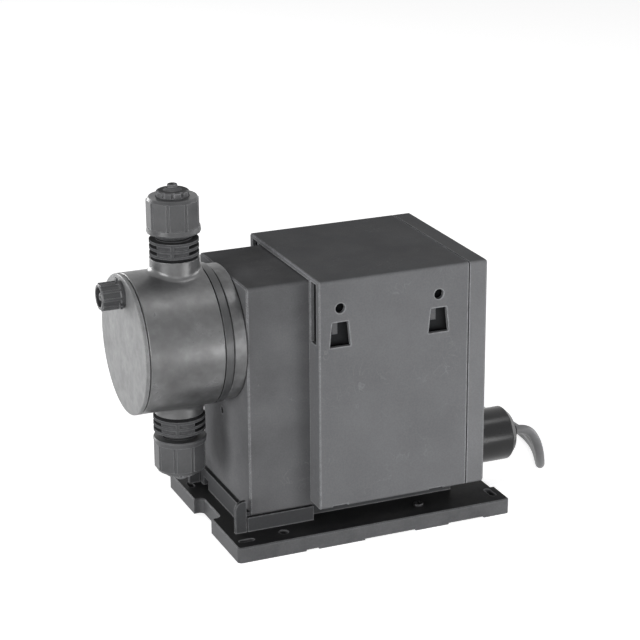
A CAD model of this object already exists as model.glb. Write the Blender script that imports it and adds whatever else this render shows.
import math

import bmesh
import bpy
from mathutils import Matrix, Vector


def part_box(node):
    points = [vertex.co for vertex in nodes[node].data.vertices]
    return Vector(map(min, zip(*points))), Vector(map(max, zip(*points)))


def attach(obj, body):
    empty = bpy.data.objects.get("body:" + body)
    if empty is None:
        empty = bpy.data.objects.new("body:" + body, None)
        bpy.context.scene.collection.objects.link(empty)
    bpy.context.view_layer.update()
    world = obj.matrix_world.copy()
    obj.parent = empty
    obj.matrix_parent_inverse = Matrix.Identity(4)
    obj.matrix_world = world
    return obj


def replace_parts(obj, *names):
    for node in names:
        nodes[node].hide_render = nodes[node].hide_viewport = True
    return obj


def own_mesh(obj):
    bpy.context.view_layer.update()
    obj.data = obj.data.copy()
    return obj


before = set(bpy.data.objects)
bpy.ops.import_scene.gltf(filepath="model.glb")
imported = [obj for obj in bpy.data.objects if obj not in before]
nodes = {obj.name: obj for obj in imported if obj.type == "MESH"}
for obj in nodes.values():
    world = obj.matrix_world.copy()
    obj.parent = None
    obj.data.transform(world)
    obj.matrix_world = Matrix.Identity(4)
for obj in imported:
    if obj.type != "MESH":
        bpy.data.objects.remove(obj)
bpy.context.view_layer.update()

# ---------------------------------------------------------------- studio
# A pale floor, a dim white room and soft lamps that stand low round the pump, so that its upright
# faces are about three times as bright as its tops. A small high lamp gives the round head a gleam.
CAMERA_PLACE = Vector((-0.5298, -1.2260, 0.5994))
CAMERA_AZIMUTH = math.radians(-22.91)
CAMERA_ELEVATION = math.radians(19.31)
CAMERA_ROLL = math.radians(-0.385)
CAMERA_LENS = 118.6
FLOOR_SIZE = 20.0
FLOOR_COLOUR = (0.80, 0.80, 0.80, 1)
WHITE = (1, 1, 1, 1)
ROOM_LIGHT = 0.08
FLOOR_GLOW = 0.78
LAMP_AIM = Vector((-0.02, 0.0, 0.12))
# name, azimuth and elevation in degrees, distance and width in metres, strength in watts
LAMPS = (
    ("front_lamp", -12, 3, 1.7, 1.1, 5.5),
    ("low_lamp", 22, -11, 0.45, 0.25, 0.95),
    ("head_lamp", -66, 4, 1.7, 1.0, 21),
    ("panel_lamp", 80, 5, 1.8, 1.1, 17),
    ("rear_lamp", 208, 5, 1.8, 1.2, 26),
    ("top_lamp", 60, 64, 1.5, 0.55, 3.0),
)


def add(tree, kind, inputs=None, **settings):
    """A shader node with its settings and socket values."""
    node = tree.nodes.new("ShaderNode" + kind)
    for name, value in settings.items():
        setattr(node, name, value)
    for name, value in (inputs or {}).items():
        node.inputs[name].default_value = value
    return node


def chain(tree, *steps):
    """Link node outputs to node inputs, given as pairs."""
    for source, target in steps:
        tree.links.new(source, target)


def facing_turn(azimuth, elevation):
    """The turn that makes a lamp or a camera look back along an azimuth and an elevation."""
    return Matrix.Rotation(azimuth, 4, "Z") @ Matrix.Rotation(math.pi / 2 - elevation, 4, "X")


scene = bpy.context.scene
scene.view_settings.view_transform = "Standard"

camera = bpy.data.objects.new("camera", bpy.data.cameras.new("camera"))
camera.data.lens = CAMERA_LENS
scene.collection.objects.link(camera)
camera.matrix_world = (Matrix.Translation(CAMERA_PLACE)
                       @ facing_turn(CAMERA_AZIMUTH, CAMERA_ELEVATION)
                       @ Matrix.Rotation(CAMERA_ROLL, 4, "Z"))
scene.camera = camera

for name, azimuth, elevation, distance, width, strength in LAMPS:
    lamp = bpy.data.objects.new(name, bpy.data.lights.new(name, "AREA"))
    lamp.data.shape = "DISK"
    lamp.data.size = width
    lamp.data.energy = strength
    turn = facing_turn(math.radians(azimuth), math.radians(elevation))
    scene.collection.objects.link(lamp)
    lamp.matrix_world = Matrix.Translation(LAMP_AIM) @ turn @ Matrix.Translation((0, 0, distance))


def seen_mask(tree):
    """A mask that is 1 for what the eye, a gloss or a glass shows, and 0 for the light on the pump."""
    path = add(tree, "LightPath")
    first = add(tree, "Math", operation="MAXIMUM")
    second = add(tree, "Math", operation="MAXIMUM")
    chain(tree, (path.outputs["Is Camera Ray"], first.inputs[0]),
          (path.outputs["Is Glossy Ray"], first.inputs[1]), (first.outputs[0], second.inputs[0]),
          (path.outputs["Is Transmission Ray"], second.inputs[1]))
    return second.outputs[0]


world = bpy.data.worlds.new("room")
world.use_nodes = True
scene.world = world
room = world.node_tree
room.nodes.clear()
room_mix = add(room, "MixShader")
room_dim = add(room, "Background", {"Color": WHITE, "Strength": ROOM_LIGHT})
room_seen = add(room, "Background", {"Color": WHITE, "Strength": 1.0})
chain(room, (seen_mask(room), room_mix.inputs[0]), (room_dim.outputs[0], room_mix.inputs[1]),
      (room_seen.outputs[0], room_mix.inputs[2]),
      (room_mix.outputs[0], add(room, "OutputWorld").inputs["Surface"]))

floor_mesh = bmesh.new()
bmesh.ops.create_grid(floor_mesh, x_segments=1, y_segments=1, size=FLOOR_SIZE)
floor = bpy.data.objects.new("floor", bpy.data.meshes.new("floor"))
floor_mesh.to_mesh(floor.data)
floor_mesh.free()
scene.collection.objects.link(floor)
floor_paint = bpy.data.materials.new("floor_paint")
floor_paint.use_nodes = True
paint = floor_paint.node_tree
paint.nodes.clear()
paint_diffuse = add(paint, "BsdfDiffuse", {"Color": FLOOR_COLOUR})
paint_glow = add(paint, "Emission", {"Color": WHITE})
glow_strength = add(paint, "Math", {1: FLOOR_GLOW}, operation="MULTIPLY")
paint_sum = add(paint, "AddShader")
chain(paint, (seen_mask(paint), glow_strength.inputs[0]),
      (glow_strength.outputs[0], paint_glow.inputs["Strength"]),
      (paint_diffuse.outputs[0], paint_sum.inputs[0]), (paint_glow.outputs[0], paint_sum.inputs[1]),
      (paint_sum.outputs[0], add(paint, "OutputMaterial").inputs["Surface"]))
floor.data.materials.append(floor_paint)

# ---------------------------------------------------------------- mounting plate
# One moulding in black glass-filled plastic, with a fine matt grain. Handling has rubbed its rim grey
# and its edges paler, and its top stays dark. The lock screw in it is blackened steel.
PLATE_COLOUR = (0.115, 0.116, 0.120)
PLATE_RIB_COLOUR = (0.062, 0.063, 0.066, 1)
PLATE_TOP_COLOUR = (0.013, 0.013, 0.014, 1)
PLATE_TOP = 0.0107
PLATE_SHADING_STEP = 0.001
BLACKENED_COLOUR = (0.05, 0.05, 0.052)
DUST_COLOUR = (0.30, 0.29, 0.27, 1)
SPECK_SIZE = 2.5            # in grains
SPECK_STRENGTH = 0.12
SPECK_SHADE = 0.25
PLASTIC_PATCHES = 0.05      # how far a patch is duller or brighter than the roughness given
BRIGHT_PATCHES = 0.06
DULL_PATCHES = 0.10
EDGE_SAMPLES = 6


def shader_group(name, inputs, outputs):
    """A shader node group: its inputs are given as name and default, its outputs as name and kind."""
    tree = bpy.data.node_groups.new(name, "ShaderNodeTree")
    for socket_name, value in inputs:
        socket = tree.interface.new_socket(socket_name, in_out="INPUT", socket_type="NodeSocketFloat")
        socket.default_value = value
    for socket_name, kind in outputs:
        tree.interface.new_socket(socket_name, in_out="OUTPUT", socket_type="NodeSocket" + kind)
    return tree, tree.nodes.new("NodeGroupInput").outputs, tree.nodes.new("NodeGroupOutput").inputs


def make_surface_grain():
    """A fine grain as a bump on slightly rounded edges, and masks of soft blotches and small specks."""
    tree, given, out = shader_group(
        "surface_grain",
        (("Grains per Metre", 2200), ("Depth", 0.00002), ("Blotches per Metre", 60),
         ("Edge Round", 0.0005)),
        (("Mottle", "Float"), ("Speckle", "Float"), ("Normal", "Vector")))
    place = add(tree, "TexCoord").outputs["Object"]
    grain = add(tree, "TexNoise", {"Detail": 3.0, "Roughness": 0.6})
    blotch = add(tree, "TexNoise", {"Detail": 4.0, "Roughness": 0.55})
    spread = add(tree, "MapRange", {"From Min": 0.32, "From Max": 0.68})
    coarse = add(tree, "Math", {1: 1 / SPECK_SIZE}, operation="MULTIPLY")
    speckle = add(tree, "TexNoise", {"Detail": 2.0, "Roughness": 0.5})
    specks = add(tree, "MapRange", {"From Min": 0.35, "From Max": 0.65})
    edge = add(tree, "Bevel", samples=EDGE_SAMPLES)
    bump = add(tree, "Bump")
    chain(tree, (place, grain.inputs["Vector"]), (given["Grains per Metre"], grain.inputs["Scale"]),
          (place, blotch.inputs["Vector"]), (given["Blotches per Metre"], blotch.inputs["Scale"]),
          (given["Grains per Metre"], coarse.inputs[0]), (coarse.outputs[0], speckle.inputs["Scale"]),
          (place, speckle.inputs["Vector"]), (given["Edge Round"], edge.inputs["Radius"]),
          (grain.outputs[0], bump.inputs["Height"]), (given["Depth"], bump.inputs["Distance"]),
          (edge.outputs[0], bump.inputs["Normal"]), (bump.outputs[0], out["Normal"]),
          (blotch.outputs[0], spread.inputs["Value"]), (spread.outputs[0], out["Mottle"]),
          (speckle.outputs[0], specks.inputs["Value"]), (specks.outputs[0], out["Speckle"]))
    return tree


def make_edge_wear():
    """A mask of rubbed corners: where the rounded normal leaves the flat one, broken up by noise."""
    tree, given, out = shader_group("edge_wear", (("Width", 0.0008), ("Breaks per Metre", 300)),
                                    (("Mask", "Float"),))
    edge = add(tree, "Bevel", samples=EDGE_SAMPLES)
    agree = add(tree, "VectorMath", operation="DOT_PRODUCT")
    bend = add(tree, "MapRange", {"From Min": 0.995, "From Max": 0.90})
    breaks = add(tree, "TexNoise", {"Detail": 3.0})
    patchy = add(tree, "MapRange", {"From Min": 0.35, "From Max": 0.65, "To Min": 0.45})
    both = add(tree, "Math", operation="MULTIPLY", use_clamp=True)
    chain(tree, (given["Width"], edge.inputs["Radius"]), (edge.outputs[0], agree.inputs[0]),
          (add(tree, "NewGeometry").outputs["Normal"], agree.inputs[1]),
          (agree.outputs["Value"], bend.inputs["Value"]),
          (add(tree, "TexCoord").outputs["Object"], breaks.inputs["Vector"]),
          (given["Breaks per Metre"], breaks.inputs["Scale"]),
          (breaks.outputs[0], patchy.inputs["Value"]), (bend.outputs[0], both.inputs[0]),
          (patchy.outputs[0], both.inputs[1]), (both.outputs[0], out["Mask"]))
    return tree


def make_settled_dust():
    """A thin mask of dust that lies on faces that look up."""
    tree, given, out = shader_group("settled_dust", (("Amount", 0.1),), (("Mask", "Float"),))
    upward = add(tree, "SeparateXYZ")
    lying = add(tree, "MapRange", {"From Min": 0.75, "From Max": 1.0})
    drift = add(tree, "TexNoise", {"Scale": 45.0, "Detail": 5.0, "Roughness": 0.65})
    patchy = add(tree, "MapRange", {"From Min": 0.40, "From Max": 0.70})
    both = add(tree, "Math", operation="MULTIPLY")
    thin = add(tree, "Math", operation="MULTIPLY", use_clamp=True)
    chain(tree, (add(tree, "NewGeometry").outputs["Normal"], upward.inputs[0]),
          (upward.outputs["Z"], lying.inputs["Value"]),
          (add(tree, "TexCoord").outputs["Object"], drift.inputs["Vector"]),
          (drift.outputs[0], patchy.inputs["Value"]), (lying.outputs[0], both.inputs[0]),
          (patchy.outputs[0], both.inputs[1]), (both.outputs[0], thin.inputs[0]),
          (given["Amount"], thin.inputs[1]), (thin.outputs[0], out["Mask"]))
    return tree


def make_light_scuffs():
    """A mask of faint rubbed marks, thin and curled, which lie in a few patches."""
    tree, given, out = shader_group("light_scuffs", (("Amount", 0.3),), (("Mask", "Float"),))
    place = add(tree, "TexCoord").outputs["Object"]
    line = add(tree, "TexNoise", {"Scale": 70.0, "Detail": 2.0, "Distortion": 1.5})
    thin = add(tree, "Math", {1: 0.5}, operation="SUBTRACT")
    near = add(tree, "Math", operation="ABSOLUTE")
    mark = add(tree, "MapRange", {"From Min": 0.012, "From Max": 0.002})
    patch = add(tree, "TexNoise", {"Scale": 38.0, "Detail": 3.0})
    patchy = add(tree, "MapRange", {"From Min": 0.52, "From Max": 0.66})
    both = add(tree, "Math", operation="MULTIPLY")
    faint = add(tree, "Math", operation="MULTIPLY", use_clamp=True)
    chain(tree, (place, line.inputs["Vector"]), (place, patch.inputs["Vector"]),
          (line.outputs[0], thin.inputs[0]), (thin.outputs[0], near.inputs[0]),
          (near.outputs[0], mark.inputs["Value"]),
          (patch.outputs[0], patchy.inputs["Value"]), (mark.outputs[0], both.inputs[0]),
          (patchy.outputs[0], both.inputs[1]), (both.outputs[0], faint.inputs[0]),
          (given["Amount"], faint.inputs[1]), (faint.outputs[0], out["Mask"]))
    return tree


surface_grain = make_surface_grain()
edge_wear = make_edge_wear()
settled_dust = make_settled_dust()
light_scuffs = make_light_scuffs()


def place_group(tree, group, **values):
    """A shader group in a material, with its values; an underscore in a name stands for a space."""
    node = tree.nodes.new("ShaderNodeGroup")
    node.node_tree = group
    for name, value in values.items():
        node.inputs[name.replace("_", " ")].default_value = value
    return node


def blank_material(name, **values):
    """A material with a plain shader whose constants are set on its own sockets."""
    material = bpy.data.materials.new(name)
    material.use_nodes = True
    tree = material.node_tree
    tree.nodes.clear()
    shader = add(tree, "BsdfPrincipled", {"Specular IOR Level": 0.0})
    for socket, value in values.items():
        shader.inputs[socket.replace("_", " ")].default_value = value
    tree.links.new(shader.outputs[0], add(tree, "OutputMaterial").inputs["Surface"])
    return material, tree, shader


def blend_colours(tree, mask, under, over):
    """The under colour, turned to the over colour where the mask is 1. Either may be a plain colour."""
    mix = add(tree, "Mix", data_type="RGBA")
    tree.links.new(mask, mix.inputs[0])
    for socket, colour in ((mix.inputs[6], under), (mix.inputs[7], over)):
        if isinstance(colour, tuple):
            socket.default_value = colour
        else:
            tree.links.new(colour, socket)
    return mix.outputs[2]


def shade(colour, share):
    """A colour made darker or lighter by a share, with a full alpha."""
    return (*(min(1.0, part * share) for part in colour), 1)


def ranged(tree, mask, low, high):
    """A mask spread between two values."""
    spread = add(tree, "MapRange", {"To Min": low, "To Max": high})
    tree.links.new(mask, spread.inputs["Value"])
    return spread.outputs[0]


def surface_colour(tree, grain, colour, contrast):
    """A colour clouded a little darker and lighter by the grain's soft blotches."""
    return blend_colours(tree, grain.outputs["Mottle"], shade(colour, 1 - contrast),
                         shade(colour, 1 + contrast))


def moulded_plastic(name, colour, roughness, contrast=0.14, grains=2200, depth=0.00002, blotches=60,
                    edge_round=0.0005, wear_width=0.0012, wear_shade=2.2, dust=0.1, scuffs=0.0,
                    paint=None, **values):
    """A moulded plastic: fine grain, specks, blotches, faint scuffs, paler rubbed edges, thin dust.

    A paint function turns part of the body's colour into another before the wear goes over it.
    """
    material, tree, shader = blank_material(name, **values)
    grain = place_group(tree, surface_grain, Grains_per_Metre=grains, Depth=depth,
                        Blotches_per_Metre=blotches, Edge_Round=edge_round)
    wear = place_group(tree, edge_wear, Width=wear_width)
    settled = place_group(tree, settled_dust, Amount=dust)
    body = surface_colour(tree, grain, colour, contrast)
    if paint:
        body = paint(tree, body)
    if scuffs:
        marks = place_group(tree, light_scuffs, Amount=scuffs)
        body = blend_colours(tree, marks.outputs[0], body, shade(colour, wear_shade))
    specked = blend_colours(tree, ranged(tree, grain.outputs["Speckle"], 0.0, SPECK_STRENGTH), body,
                            shade(colour, SPECK_SHADE))
    rubbed = blend_colours(tree, wear.outputs[0], specked, shade(colour, wear_shade))
    dusted = blend_colours(tree, settled.outputs[0], rubbed, DUST_COLOUR)
    cloudy = ranged(tree, grain.outputs["Mottle"], roughness - PLASTIC_PATCHES,
                    roughness + PLASTIC_PATCHES)
    chain(tree, (dusted, shader.inputs["Base Color"]), (cloudy, shader.inputs["Roughness"]),
          (grain.outputs["Normal"], shader.inputs["Normal"]))
    return material


def plated_metal(name, colour, roughness, contrast=0.12, grains=900, depth=0.000004):
    """A plated or ground metal: faint scratches and cloudy patches in its polish."""
    material, tree, shader = blank_material(name, Metallic=1.0)
    grain = place_group(tree, surface_grain, Grains_per_Metre=grains, Depth=depth,
                        Blotches_per_Metre=90, Edge_Round=0.0002)
    cloudy = ranged(tree, grain.outputs["Mottle"], roughness - BRIGHT_PATCHES,
                    roughness + DULL_PATCHES)
    chain(tree, (surface_colour(tree, grain, colour, contrast), shader.inputs["Base Color"]),
          (cloudy, shader.inputs["Roughness"]), (grain.outputs["Normal"], shader.inputs["Normal"]))
    return material


def coat(material, *names):
    """Give CAD pieces a finish."""
    for name in names:
        for slot in nodes[name].material_slots:
            slot.material = material


def plate_paint(tree, body):
    """The plate's colour: rubbed grey round its rim, darker on its ribs, and darkest on top."""
    upward = add(tree, "SeparateXYZ")
    lying = add(tree, "MapRange", {"From Min": 0.6, "From Max": 0.95})
    height = add(tree, "SeparateXYZ")
    raised = add(tree, "MapRange", {"From Min": PLATE_TOP, "From Max": PLATE_TOP + PLATE_SHADING_STEP})
    chain(tree, (add(tree, "NewGeometry").outputs["Normal"], upward.inputs[0]),
          (upward.outputs["Z"], lying.inputs["Value"]),
          (add(tree, "TexCoord").outputs["Object"], height.inputs[0]),
          (height.outputs["Z"], raised.inputs["Value"]))
    sides = blend_colours(tree, raised.outputs[0], body, PLATE_RIB_COLOUR)
    return blend_colours(tree, lying.outputs[0], sides, PLATE_TOP_COLOUR)


coat(moulded_plastic("plate_plastic", PLATE_COLOUR, 0.42, grains=1800, wear_width=0.0014,
                     wear_shade=1.6, dust=0.03, paint=plate_paint, Specular_IOR_Level=0.05),
     "mounting_plate")
coat(plated_metal("blackened_screw", BLACKENED_COLOUR, 0.45), "lock_screw")

# ---------------------------------------------------------------- drive housing
# A five-sided box moulded in dark grey glass-filled plastic, closed at its back by a stepped cover of
# the same. Faint cloudy flow marks run through the moulding, and its corners are rubbed paler.
DRIVE_COLOUR = (0.148, 0.149, 0.154)
coat(moulded_plastic("drive_plastic", DRIVE_COLOUR, 0.52, blotches=28, wear_width=0.0018, wear_shade=2.6,
                     scuffs=0.15),
     "drive_housing", "drive_back_cover")

# ---------------------------------------------------------------- cam drive
# A stepper motor turns a pinion and an acetal gear; the cam on the gear's shaft pushes the rod through
# a roller, and a coil spring brings it back. The frame is die-cast, the shafts and cam ground steel.
STEEL_COLOUR = (0.56, 0.57, 0.58)
CAST_COLOUR = (0.50, 0.51, 0.52)
ACETAL_COLOUR = (0.72, 0.70, 0.63)
MOTOR_COLOUR = (0.040, 0.040, 0.043)
BRONZE_COLOUR = (0.55, 0.36, 0.17)
RUBBER_COLOUR = (0.022, 0.022, 0.023)
SPRING_RADIUS = 0.007
SPRING_WIRE = 0.0014
SPRING_SIDES = 12
SPRING_TURNS = 4.5
STEPS_PER_TURN = 40
ground_steel = plated_metal("ground_steel", STEEL_COLOUR, 0.28)
coat(ground_steel, "camshaft", "shaft_bearings", "motor_pinion", "push_rod", "roller_pin",
     "cam_roller", "drive_cam", "motor_rotor")
coat(plated_metal("die_cast_aluminium", CAST_COLOUR, 0.48, contrast=0.2, grains=1500, depth=0.00002),
     "gear_frame")
coat(moulded_plastic("acetal", ACETAL_COLOUR, 0.38, contrast=0.05, wear_shade=1.1, dust=0.0,
                     Subsurface_Weight=0.15, Subsurface_Radius=(0.002, 0.0018, 0.0015)), "cam_gear")
coat(moulded_plastic("motor_coating", MOTOR_COLOUR, 0.42, grains=1200, wear_shade=3.0), "motor_body")
coat(plated_metal("sintered_bronze", BRONZE_COLOUR, 0.42, grains=3000, depth=0.00002), "rod_bush")
seal_rubber = moulded_plastic("seal_rubber", RUBBER_COLOUR, 0.68, contrast=0.25, grains=3000,
                              wear_width=0.0004, dust=0.05)
coat(seal_rubber, "seals")


def finished_piece(mesh, name, material, body):
    """A new piece from a bmesh: closed and facing outwards, in its finish, and riding on its body."""
    bmesh.ops.recalc_face_normals(mesh, faces=mesh.faces)
    piece = bpy.data.objects.new(name, bpy.data.meshes.new(name))
    mesh.to_mesh(piece.data)
    mesh.free()
    piece.data.materials.append(material)
    scene.collection.objects.link(piece)
    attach(piece, body)
    return piece


spring_low, spring_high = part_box("return_spring")
spring_length = spring_high.x - spring_low.x
rod_axis = (0, 0, (spring_low.z + spring_high.z) / 2)
spring_steps = int(SPRING_TURNS * STEPS_PER_TURN)
coil = bmesh.new()
bmesh.ops.create_circle(coil, cap_ends=True, segments=SPRING_SIDES, radius=SPRING_WIRE / 2)
bmesh.ops.rotate(coil, verts=coil.verts, cent=(0, 0, 0), matrix=Matrix.Rotation(math.pi / 2, 3, "X"))
bmesh.ops.translate(coil, verts=coil.verts,
                    vec=(spring_low.x + SPRING_WIRE / 2, 0, rod_axis[2] + SPRING_RADIUS))
bmesh.ops.spin(coil, geom=coil.faces[:], cent=rod_axis, axis=(1, 0, 0),
               angle=SPRING_TURNS * 2 * math.pi, steps=spring_steps,
               dvec=((spring_length - SPRING_WIRE) / spring_steps, 0, 0))
spring = finished_piece(coil, "spring_coil", ground_steel, "pump")
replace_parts(spring, "return_spring")
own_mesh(spring)

# ---------------------------------------------------------------- diaphragm
# One rubber moulding, clamped by its rim behind the head. Its stiff middle is bonded to the push rod's
# tip and moves with it, while the thin rolled web round it flexes by the stroke.
CLAMP_PLANE = -0.0956       # places along the rod's axis
RIM_FRONT = -0.0986
CORE_FRONT = -0.0978
CORE_BACK = -0.0906
TIP_END = -0.09465
TIP_RADIUS = 0.00355
CORE_RADIUS = 0.0120
CORE_GAP = 0.00005
ROLL_RADII = (0.018, 0.025)
ROLL_RISE = 0.0009
ROOT_DEPTH = 0.00023
LIP_RADIUS = 0.0295
CLAMP_RADIUS = 0.031
RIM_RADIUS = 0.037
WEB_THICKNESS = 0.0014
TURNING_STEPS = 96
MERGE_DISTANCE = 0.000001
roll_back = CLAMP_PLANE + ROLL_RISE
roll_front = roll_back - WEB_THICKNESS
web_outline = [(CORE_FRONT, CORE_RADIUS), (CLAMP_PLANE - ROOT_DEPTH, CORE_RADIUS),
               (roll_back, ROLL_RADII[0]), (roll_back, ROLL_RADII[1]),
               (CLAMP_PLANE - ROLL_RISE, LIP_RADIUS), (CLAMP_PLANE, CLAMP_RADIUS),
               (CLAMP_PLANE, RIM_RADIUS), (RIM_FRONT, RIM_RADIUS), (RIM_FRONT, LIP_RADIUS),
               (roll_front, ROLL_RADII[1]), (roll_front, ROLL_RADII[0]), (CORE_FRONT, CORE_RADIUS)]
core_outline = [(CORE_FRONT, 0), (CORE_FRONT, CORE_RADIUS - CORE_GAP),
                (CORE_BACK, CORE_RADIUS - CORE_GAP), (CORE_BACK, TIP_RADIUS), (TIP_END, TIP_RADIUS),
                (TIP_END, 0)]


def turned_rubber(name, outline, body):
    """A moulding turned round the rod's axis from an outline of places along it and radii."""
    mesh = bmesh.new()
    corners = [mesh.verts.new((along, 0, rod_axis[2] + radius)) for along, radius in outline]
    edges = [mesh.edges.new(pair) for pair in zip(corners, corners[1:])]
    bmesh.ops.spin(mesh, geom=corners + edges, cent=rod_axis, axis=(1, 0, 0), angle=2 * math.pi,
                   steps=TURNING_STEPS, use_merge=True)
    bmesh.ops.remove_doubles(mesh, verts=mesh.verts, dist=MERGE_DISTANCE)
    bmesh.ops.dissolve_degenerate(mesh, edges=mesh.edges, dist=MERGE_DISTANCE)
    return finished_piece(mesh, name, seal_rubber, body)


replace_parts(turned_rubber("diaphragm_web", web_outline, "pump"), "diaphragm")
turned_rubber("diaphragm_core", core_outline, "push_rod")

# ---------------------------------------------------------------- dosing head
# The head is turned and blasted to a dull satin, clouded and faintly streaked round its rim by the
# lathe; its cover is finished lighter. Four cap screws behind the cover hold it to the housing.
HEAD_COLOUR = (0.074, 0.075, 0.077)
COVER_COLOUR = (0.225, 0.227, 0.230)
RING_COLOUR = (0.042, 0.043, 0.045)
FLANGE_COLOUR = (0.14, 0.141, 0.144)
ZINC_COLOUR = (0.46, 0.46, 0.45)
HEAD_AXIS_Z = sum(corner.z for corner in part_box("head_cover")) / 2
LATHE_SCALE = 45.0          # the wave texture then has a ring for each 7 mm
OXIDE_PATCHES = 0.08
BLAST_STRENGTH = 0.50
BLAST_SHADE = 0.55
RUBBED_SHADE = 2.0


def blasted_metal(name, colour, roughness, contrast, **values):
    """Blasted metal: clouds of oxide over a fine blast, with faint lathe rings round the head's axis."""
    material, tree, shader = blank_material(name, **values)
    grain = place_group(tree, surface_grain, Grains_per_Metre=1500, Depth=0.00003,
                        Blotches_per_Metre=75, Edge_Round=0.0006)
    blast = place_group(tree, surface_grain, Grains_per_Metre=3000, Depth=0.0, Blotches_per_Metre=230)
    wear = place_group(tree, edge_wear, Width=0.0008)
    centred = add(tree, "Mapping", {"Location": (0, 0, -HEAD_AXIS_Z)})
    rings = add(tree, "TexWave", {"Scale": LATHE_SCALE, "Distortion": 1.2, "Detail": 2.0},
                wave_type="RINGS", rings_direction="X")
    lathe = add(tree, "Bump", {"Strength": 0.25, "Distance": 0.00002})
    blasted = blend_colours(tree, ranged(tree, blast.outputs["Mottle"], 0.0, BLAST_STRENGTH),
                            surface_colour(tree, grain, colour, contrast),
                            shade(colour, BLAST_SHADE))
    rubbed = blend_colours(tree, wear.outputs[0], blasted, shade(colour, RUBBED_SHADE))
    cloudy = ranged(tree, grain.outputs["Mottle"], roughness + OXIDE_PATCHES,
                    roughness - BRIGHT_PATCHES)
    chain(tree, (add(tree, "TexCoord").outputs["Object"], centred.inputs["Vector"]),
          (centred.outputs[0], rings.inputs["Vector"]), (rings.outputs["Fac"], lathe.inputs["Height"]),
          (grain.outputs["Normal"], lathe.inputs["Normal"]), (lathe.outputs[0], shader.inputs["Normal"]),
          (rubbed, shader.inputs["Base Color"]), (cloudy, shader.inputs["Roughness"]))
    return material


zinc_plating = plated_metal("zinc_plating", ZINC_COLOUR, 0.31)
coat(blasted_metal("head_satin", HEAD_COLOUR, 0.33, 0.60, Specular_IOR_Level=1.0), "dosing_head")
coat(blasted_metal("cover_satin", COVER_COLOUR, 0.46, 0.10, Specular_IOR_Level=0.5), "head_cover")
coat(blasted_metal("ring_satin", RING_COLOUR, 0.36, 0.30, Specular_IOR_Level=0.6), "clamp_ring")
coat(blasted_metal("flange_satin", FLANGE_COLOUR, 0.34, 0.45, Metallic=0.15, Specular_IOR_Level=0.6),
     "flange_ring")
coat(zinc_plating, "head_bolts")

# ---------------------------------------------------------------- valve stacks
# Moulded glass-filled bodies carry a coarse cut thread below each union nut; the nuts, tube inserts
# and knob are a satin plastic. A ceramic ball sits on a machined plastic seat in each cage.
VALVE_COLOUR = (0.085, 0.086, 0.089)
NUT_COLOUR = (0.085, 0.086, 0.089)
INSERT_COLOUR = (0.15, 0.151, 0.155)
CERAMIC_COLOUR = (0.85, 0.84, 0.80)
SEAT_COLOUR = (0.58, 0.56, 0.48)
THREAD_PITCH = 0.001814
THREAD_RADIUS = 0.0115
GROOVE_DEPTH = 0.0006
GROOVE_SHADE = 0.15
STACK_X = sum(corner.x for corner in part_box("discharge_valve_body")) / 2


def make_neck_thread():
    """A screw thread round an upright axis: the grooves as a height, and a mask of the neck's radius."""
    tree, given, out = shader_group(
        "neck_thread", (("Axis X", 0.0), ("Pitch", THREAD_PITCH), ("Radius", THREAD_RADIUS)),
        (("Height", "Float"), ("Mask", "Float")))
    split = add(tree, "SeparateXYZ")
    across = add(tree, "Math", operation="SUBTRACT")
    angle = add(tree, "Math", operation="ARCTAN2")
    turns = add(tree, "Math", {1: 2 * math.pi}, operation="DIVIDE")
    climb = add(tree, "Math", operation="DIVIDE")
    phase = add(tree, "Math", operation="SUBTRACT")
    groove = add(tree, "Math", {1: 1.0}, operation="PINGPONG")
    half = add(tree, "Math", {1: 2.0}, operation="MULTIPLY")
    flat = add(tree, "CombineXYZ")
    reach = add(tree, "VectorMath", operation="LENGTH")
    nearness = add(tree, "Math", operation="SUBTRACT")
    apart = add(tree, "Math", operation="ABSOLUTE")
    band = add(tree, "MapRange", {"From Min": 0.0004, "From Max": 0.0002})
    chain(tree, (add(tree, "TexCoord").outputs["Object"], split.inputs[0]),
          (split.outputs["X"], across.inputs[0]), (given["Axis X"], across.inputs[1]),
          (split.outputs["Y"], angle.inputs[0]), (across.outputs[0], angle.inputs[1]),
          (angle.outputs[0], turns.inputs[0]), (split.outputs["Z"], climb.inputs[0]),
          (given["Pitch"], climb.inputs[1]), (climb.outputs[0], phase.inputs[0]),
          (turns.outputs[0], phase.inputs[1]), (phase.outputs[0], half.inputs[0]),
          (half.outputs[0], groove.inputs[0]),
          (across.outputs[0], flat.inputs["X"]), (split.outputs["Y"], flat.inputs["Y"]),
          (flat.outputs[0], reach.inputs[0]), (reach.outputs["Value"], nearness.inputs[0]),
          (given["Radius"], nearness.inputs[1]), (nearness.outputs[0], apart.inputs[0]),
          (apart.outputs[0], band.inputs["Value"]),
          (groove.outputs[0], out["Height"]), (band.outputs[0], out["Mask"]))
    return tree


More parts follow.
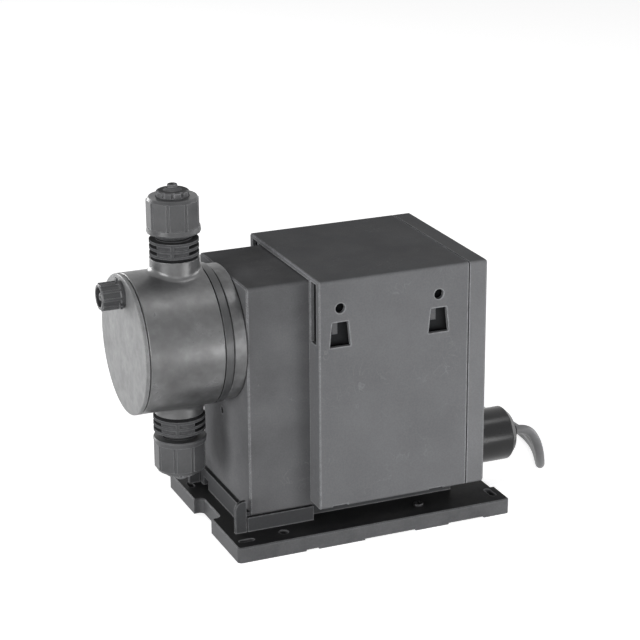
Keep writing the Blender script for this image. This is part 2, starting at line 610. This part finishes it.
def threaded_plastic(name, colour, roughness, neck_thread):
    """The valve bodies' plastic, with dark V-shaped grooves where the neck's thread is cut."""
    material = moulded_plastic(name, colour, roughness, wear_shade=2.4)
    tree = material.node_tree
    shader = next(node for node in tree.nodes if node.type == "BSDF_PRINCIPLED")
    thread = place_group(tree, neck_thread, Axis_X=STACK_X)
    root = add(tree, "MapRange", {"From Min": 0.55, "From Max": 0.15})
    grooves = add(tree, "Math", operation="MULTIPLY")
    depth = add(tree, "Math", operation="MULTIPLY")
    cut = add(tree, "Bump", {"Distance": GROOVE_DEPTH})
    plain_colour = shader.inputs["Base Color"].links[0].from_socket
    plain_normal = shader.inputs["Normal"].links[0].from_socket
    dark_roots = blend_colours(tree, grooves.outputs[0], plain_colour, shade(colour, GROOVE_SHADE))
    chain(tree, (thread.outputs["Height"], root.inputs["Value"]), (root.outputs[0], grooves.inputs[0]),
          (thread.outputs["Mask"], grooves.inputs[1]), (thread.outputs["Height"], depth.inputs[0]),
          (thread.outputs["Mask"], depth.inputs[1]), (depth.outputs[0], cut.inputs["Height"]),
          (plain_normal, cut.inputs["Normal"]), (cut.outputs[0], shader.inputs["Normal"]),
          (dark_roots, shader.inputs["Base Color"]))
    return material


coat(threaded_plastic("valve_plastic", VALVE_COLOUR, 0.46, make_neck_thread()),
     "discharge_valve_body", "suction_valve_body")
coat(moulded_plastic("insert_plastic", INSERT_COLOUR, 0.44, wear_shade=2.2),
     "discharge_tube_insert", "suction_tube_insert")
coat(moulded_plastic("nut_plastic", NUT_COLOUR, 0.36, grains=1400, wear_width=0.0009, wear_shade=2.6,
                     Specular_IOR_Level=0.3),
     "discharge_nut", "suction_nut", "bleed_knob", "bleed_spindle")
coat(moulded_plastic("ceramic", CERAMIC_COLOUR, 0.12, contrast=0.04, depth=0.000002, wear_shade=1.0,
                     dust=0.0, Coat_Weight=0.4), "discharge_ball", "suction_ball")
coat(moulded_plastic("seat_plastic", SEAT_COLOUR, 0.45, contrast=0.06, wear_shade=1.1, dust=0.0),
     "valve_seats")

# ---------------------------------------------------------------- control cube
# The shell and the panel frame are two mouldings in the same dark grey, a shade lighter than the
# drive's. Inside, a pale folded chassis hooks into the shell's side windows and carries two boards.
CUBE_COLOUR = (0.168, 0.170, 0.176)
PANEL_COLOUR = (0.190, 0.192, 0.198)
CHASSIS_COLOUR = (0.035, 0.036, 0.038)
HOOK_COLOUR = (0.17, 0.172, 0.178)
BOARD_COLOUR = (0.020, 0.105, 0.045)
TRACK_COLOUR = (0.045, 0.20, 0.09, 1)
BOARD_ROUGHNESS = (0.28, 0.42)
BOARD_TO_CHASSIS = 0.007
HOOK_SHADING_STEP = 0.0003
CHASSIS_SIDE = max(corner.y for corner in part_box("control_board")) + BOARD_TO_CHASSIS


def chassis_paint(tree, body):
    """The chassis's hooks, outside its own walls, are pale and catch the light."""
    split = add(tree, "SeparateXYZ")
    side = add(tree, "Math", operation="ABSOLUTE")
    hooks = add(tree, "MapRange",
                {"From Min": CHASSIS_SIDE, "From Max": CHASSIS_SIDE + HOOK_SHADING_STEP})
    chain(tree, (add(tree, "TexCoord").outputs["Object"], split.inputs[0]),
          (split.outputs["Y"], side.inputs[0]), (side.outputs[0], hooks.inputs["Value"]))
    return blend_colours(tree, hooks.outputs[0], body, shade(HOOK_COLOUR, 1))


def circuit_board():
    """Green solder resist over copper tracks, which show as paler raised lines."""
    material, tree, shader = blank_material("circuit_board", Coat_Weight=0.3)
    grain = place_group(tree, surface_grain, Grains_per_Metre=4000, Depth=0.000004,
                        Blotches_per_Metre=200)
    turned = add(tree, "Mapping", {"Rotation": (0, math.radians(90), 0)})
    tracks = add(tree, "TexBrick", {"Scale": 60.0, "Mortar Size": 0.08, "Mortar Smooth": 0.1},
                 offset=0.37)
    raised = add(tree, "Bump", {"Strength": 0.5, "Distance": 0.00004})
    tracked = blend_colours(tree, tracks.outputs["Fac"], shade(BOARD_COLOUR, 1), TRACK_COLOUR)
    cloudy = ranged(tree, grain.outputs["Mottle"], *BOARD_ROUGHNESS)
    chain(tree, (add(tree, "TexCoord").outputs["Object"], turned.inputs["Vector"]),
          (turned.outputs[0], tracks.inputs["Vector"]), (tracks.outputs["Fac"], raised.inputs["Height"]),
          (grain.outputs["Normal"], raised.inputs["Normal"]), (tracked, shader.inputs["Base Color"]),
          (cloudy, shader.inputs["Roughness"]), (raised.outputs[0], shader.inputs["Normal"]))
    return material


coat(moulded_plastic("cube_plastic", CUBE_COLOUR, 0.55, contrast=0.07, blotches=24, wear_width=0.0018,
                     wear_shade=2.2, scuffs=0.22), "cube_shell")
coat(moulded_plastic("panel_plastic", PANEL_COLOUR, 0.55, contrast=0.07, blotches=24, wear_width=0.0014,
                     wear_shade=2.0), "panel_frame")
coat(moulded_plastic("chassis_plastic", CHASSIS_COLOUR, 0.55, dust=0.0, paint=chassis_paint),
     "inner_chassis")
coat(circuit_board(), "control_board", "power_board")

# ---------------------------------------------------------------- operator panel
# A satin black fascia carries a clear display window, three soft keys and a turning click wheel.
# The keys' generic symbols are thin inlays, and blind caps close the signal sockets below.
FASCIA_COLOUR = (0.045, 0.045, 0.048)
WHEEL_COLOUR = (0.10, 0.10, 0.104)
KEY_COLOUR = (0.40, 0.41, 0.42)
SOCKET_COLOUR = (0.035, 0.035, 0.037)
SYMBOL_COLOUR = (0.03, 0.03, 0.03)
SYMBOL_SINK = 0.0002
SYMBOL_RISE = 0.00008
SYMBOL_SIZE = 0.0026
BAR_FLATNESS = 0.22
BAR_PITCH = 0.0014
SCREEN_COLOUR = (0.10, 0.12, 0.105)
SCREEN_ROUGHNESS = (0.25, 0.35)
PIXELS_PER_METRE = 2000
PIXEL_BRICK = 0.25          # a pixel's sides, in the brick texture's own units
PIXEL_GAP_SHADE = 0.75
SMEARED_GLASS = (0.86, 0.88, 0.88, 1)
CLEAR_GLASS = (0.93, 0.94, 0.94, 1)
GLASS_ROUGHNESS = (0.03, 0.10)


def display_screen():
    """A reflective liquid-crystal panel: a fine grid of pixels on a grey-green ground."""
    material, tree, shader = blank_material("display_screen", Coat_Weight=0.5)
    grain = place_group(tree, surface_grain, Grains_per_Metre=3000, Depth=0.000002,
                        Blotches_per_Metre=30)
    turned = add(tree, "Mapping", {"Rotation": (0, math.radians(90), 0)})
    grid = add(tree, "TexBrick", {"Scale": PIXELS_PER_METRE * PIXEL_BRICK, "Mortar Size": 0.06,
                                  "Brick Width": PIXEL_BRICK, "Row Height": PIXEL_BRICK}, offset=0.0)
    gridded = blend_colours(tree, grid.outputs["Fac"], shade(SCREEN_COLOUR, 1),
                            shade(SCREEN_COLOUR, PIXEL_GAP_SHADE))
    cloudy = ranged(tree, grain.outputs["Mottle"], *SCREEN_ROUGHNESS)
    chain(tree, (add(tree, "TexCoord").outputs["Object"], turned.inputs["Vector"]),
          (turned.outputs[0], grid.inputs["Vector"]), (gridded, shader.inputs["Base Color"]),
          (cloudy, shader.inputs["Roughness"]), (grain.outputs["Normal"], shader.inputs["Normal"]))
    return material


def window_glass():
    """Clear moulded window, with faint finger smears in its polish."""
    material, tree, shader = blank_material("window_glass", Transmission_Weight=1.0, IOR=1.49)
    grain = place_group(tree, surface_grain, Grains_per_Metre=500, Depth=0.000001,
                        Blotches_per_Metre=55)
    smeared = blend_colours(tree, grain.outputs["Mottle"], SMEARED_GLASS, CLEAR_GLASS)
    cloudy = ranged(tree, grain.outputs["Mottle"], *GLASS_ROUGHNESS)
    chain(tree, (smeared, shader.inputs["Base Color"]), (cloudy, shader.inputs["Roughness"]),
          (grain.outputs["Normal"], shader.inputs["Normal"]))
    return material


coat(moulded_plastic("fascia_plastic", FASCIA_COLOUR, 0.42, depth=0.00001, wear_shade=2.0, dust=0.0),
     "panel_fascia", "encoder_body", "encoder_rotor")
coat(display_screen(), "display_module")
coat(window_glass(), "display_window")
coat(moulded_plastic("key_plastic", KEY_COLOUR, 0.50, contrast=0.05, depth=0.00001, wear_shade=1.2,
                     dust=0.0), "start_key", "prime_key", "menu_key")
coat(moulded_plastic("wheel_plastic", WHEEL_COLOUR, 0.34, wear_shade=1.8, dust=0.0), "click_wheel")
coat(moulded_plastic("socket_plastic", SOCKET_COLOUR, 0.48, wear_shade=2.0),
     "signal_sockets", "mains_inlet")
coat(zinc_plating, "panel_screws")
symbol_ink = moulded_plastic("symbol_ink", SYMBOL_COLOUR, 0.5, depth=0.000005, wear_shade=1.2,
                             dust=0.0)


def key_symbol(key, corners, turned, bars=1):
    """A thin inlay on a key: a polygon, or a row of bars one above another."""
    low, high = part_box(key)
    inlay = bmesh.new()
    for bar in range(bars):
        shape = bmesh.ops.create_circle(inlay, cap_ends=True, segments=corners, radius=SYMBOL_SIZE)
        bmesh.ops.rotate(inlay, verts=shape["verts"], cent=(0, 0, 0),
                         matrix=Matrix.Rotation(turned, 3, "Z"))
        if bars > 1:
            bmesh.ops.scale(inlay, verts=shape["verts"], vec=(1, BAR_FLATNESS, 1))
            bmesh.ops.translate(inlay, verts=shape["verts"],
                                vec=(0, (bar - (bars - 1) / 2) * BAR_PITCH, 0))
    solid = bmesh.ops.extrude_face_region(inlay, geom=inlay.faces[:])
    raised = [part for part in solid["geom"] if isinstance(part, bmesh.types.BMVert)]
    bmesh.ops.translate(inlay, verts=raised, vec=(0, 0, SYMBOL_SINK + SYMBOL_RISE))
    on_face = (Matrix.Translation((high.x - SYMBOL_SINK, (low.y + high.y) / 2, (low.z + high.z) / 2))
               @ Matrix(((0, 0, 1, 0), (1, 0, 0, 0), (0, 1, 0, 0), (0, 0, 0, 1))))
    bmesh.ops.transform(inlay, matrix=on_face, verts=inlay.verts)
    finished_piece(inlay, key + "_symbol", symbol_ink, key)


key_symbol("start_key", 3, math.radians(-90))
key_symbol("prime_key", 24, 0.0)
key_symbol("menu_key", 4, math.radians(45), bars=3)

# ---------------------------------------------------------------- mains connector
# A round screw-locked connector in polished black plastic holds the lead in a short soft gland; the
# lead's own plug is a soft-touch moulding with two nickel-plated pins.
GLOSS_COLOUR = (0.010, 0.010, 0.011)
PLUG_COLOUR = (0.045, 0.045, 0.047)
NICKEL_COLOUR = (0.66, 0.64, 0.59)
coat(moulded_plastic("gloss_black", GLOSS_COLOUR, 0.22, grains=500, depth=0.000006, wear_width=0.0006,
                     wear_shade=3.0, dust=0.02, Specular_IOR_Level=0.35), "mains_connector")
coat(seal_rubber, "cord_gland")
coat(moulded_plastic("plug_body", PLUG_COLOUR, 0.55, wear_shade=1.8), "mains_plug")
coat(plated_metal("nickel", NICKEL_COLOUR, 0.20), "plug_pins")

# ---------------------------------------------------------------- mains lead
# The lead is about 1.5 m of round two-core cable, 6.5 mm thick, in a soft PVC sheath. It drops from the
# connector to the floor, and its spare length is wound in two layers behind the pump, with the plug.
SHEATH_COLOUR = (0.165, 0.166, 0.170)
CORD_RADIUS = 0.00325
lead_route = [(0.1231, -0.026, 0.041), (0.1306, -0.026, 0.041), (0.1372, -0.0262, 0.0369),
              (0.1418, -0.0262, 0.0288), (0.1446, -0.0252, 0.0196), (0.1474, -0.0216, 0.0112),
              (0.1514, -0.0144, 0.0054), (0.1566, -0.0036, 0.0034), (0.1632, 0.012, 0.00325),
              (0.1688, 0.030, 0.00325), (0.1712, 0.051, 0.00325), (0.1696, 0.075, 0.00325),
              (0.164, 0.099, 0.00325)]
tail_route = [(0.106, 0.1642, 0.0094), (0.094, 0.1656, 0.0135), (0.084, 0.166, 0.017),
              (0.074, 0.166, 0.017)]
COIL_MIDDLE = (0.112, 0.122)
COIL_RADII = (0.0447, 0.0381, 0.0315, 0.0348, 0.0414, 0.0414)
COIL_HEIGHTS = (0.00325, 0.00325, 0.00325, 0.0089, 0.0089, 0.0089)
COIL_TURNS = 5.2
POINTS_PER_TURN = 24
STEP_SHARE = 0.25           # the last part of each turn shifts the cable over to the next turn


def coil_point(turned):
    """A control point of the coil after so many turns. A turn is round, and steps over at its end."""
    whole = min(int(turned), len(COIL_RADII) - 2)
    step = max(0.0, (turned - whole - (1 - STEP_SHARE)) / STEP_SHARE)
    ease = step * step * (3 - 2 * step)
    radius = COIL_RADII[whole] + (COIL_RADII[whole + 1] - COIL_RADII[whole]) * ease
    height = COIL_HEIGHTS[whole] + (COIL_HEIGHTS[whole + 1] - COIL_HEIGHTS[whole]) * ease
    angle = turned * 2 * math.pi
    return (COIL_MIDDLE[0] + radius * math.cos(angle), COIL_MIDDLE[1] + radius * math.sin(angle),
            height)


coil_route = [coil_point(number / POINTS_PER_TURN)
              for number in range(int(COIL_TURNS * POINTS_PER_TURN) + 1)]
cord_points = lead_route + coil_route + tail_route
cord_curve = bpy.data.curves.new("mains_lead", "CURVE")
cord_curve.dimensions = "3D"
cord_curve.bevel_depth = CORD_RADIUS
cord_curve.bevel_resolution = 6
cord_curve.resolution_u = 5
cord_curve.use_fill_caps = True
cord_line = cord_curve.splines.new("NURBS")
cord_line.points.add(len(cord_points) - 1)
for point, place in zip(cord_line.points, cord_points):
    point.co = (*place, 1)
cord_line.order_u = 3
cord_line.use_endpoint_u = True
mains_lead = bpy.data.objects.new("mains_lead", cord_curve)
mains_lead.data.materials.append(
    moulded_plastic("lead_sheath", SHEATH_COLOUR, 0.42, grains=1200, depth=0.00001, edge_round=0.0001,
                    wear_width=0.0002, wear_shade=1.3, dust=0.04, Specular_IOR_Level=0.45))
scene.collection.objects.link(mains_lead)
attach(mains_lead, "pump")
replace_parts(mains_lead, "mains_cord", "cord_coil", "cord_tail")
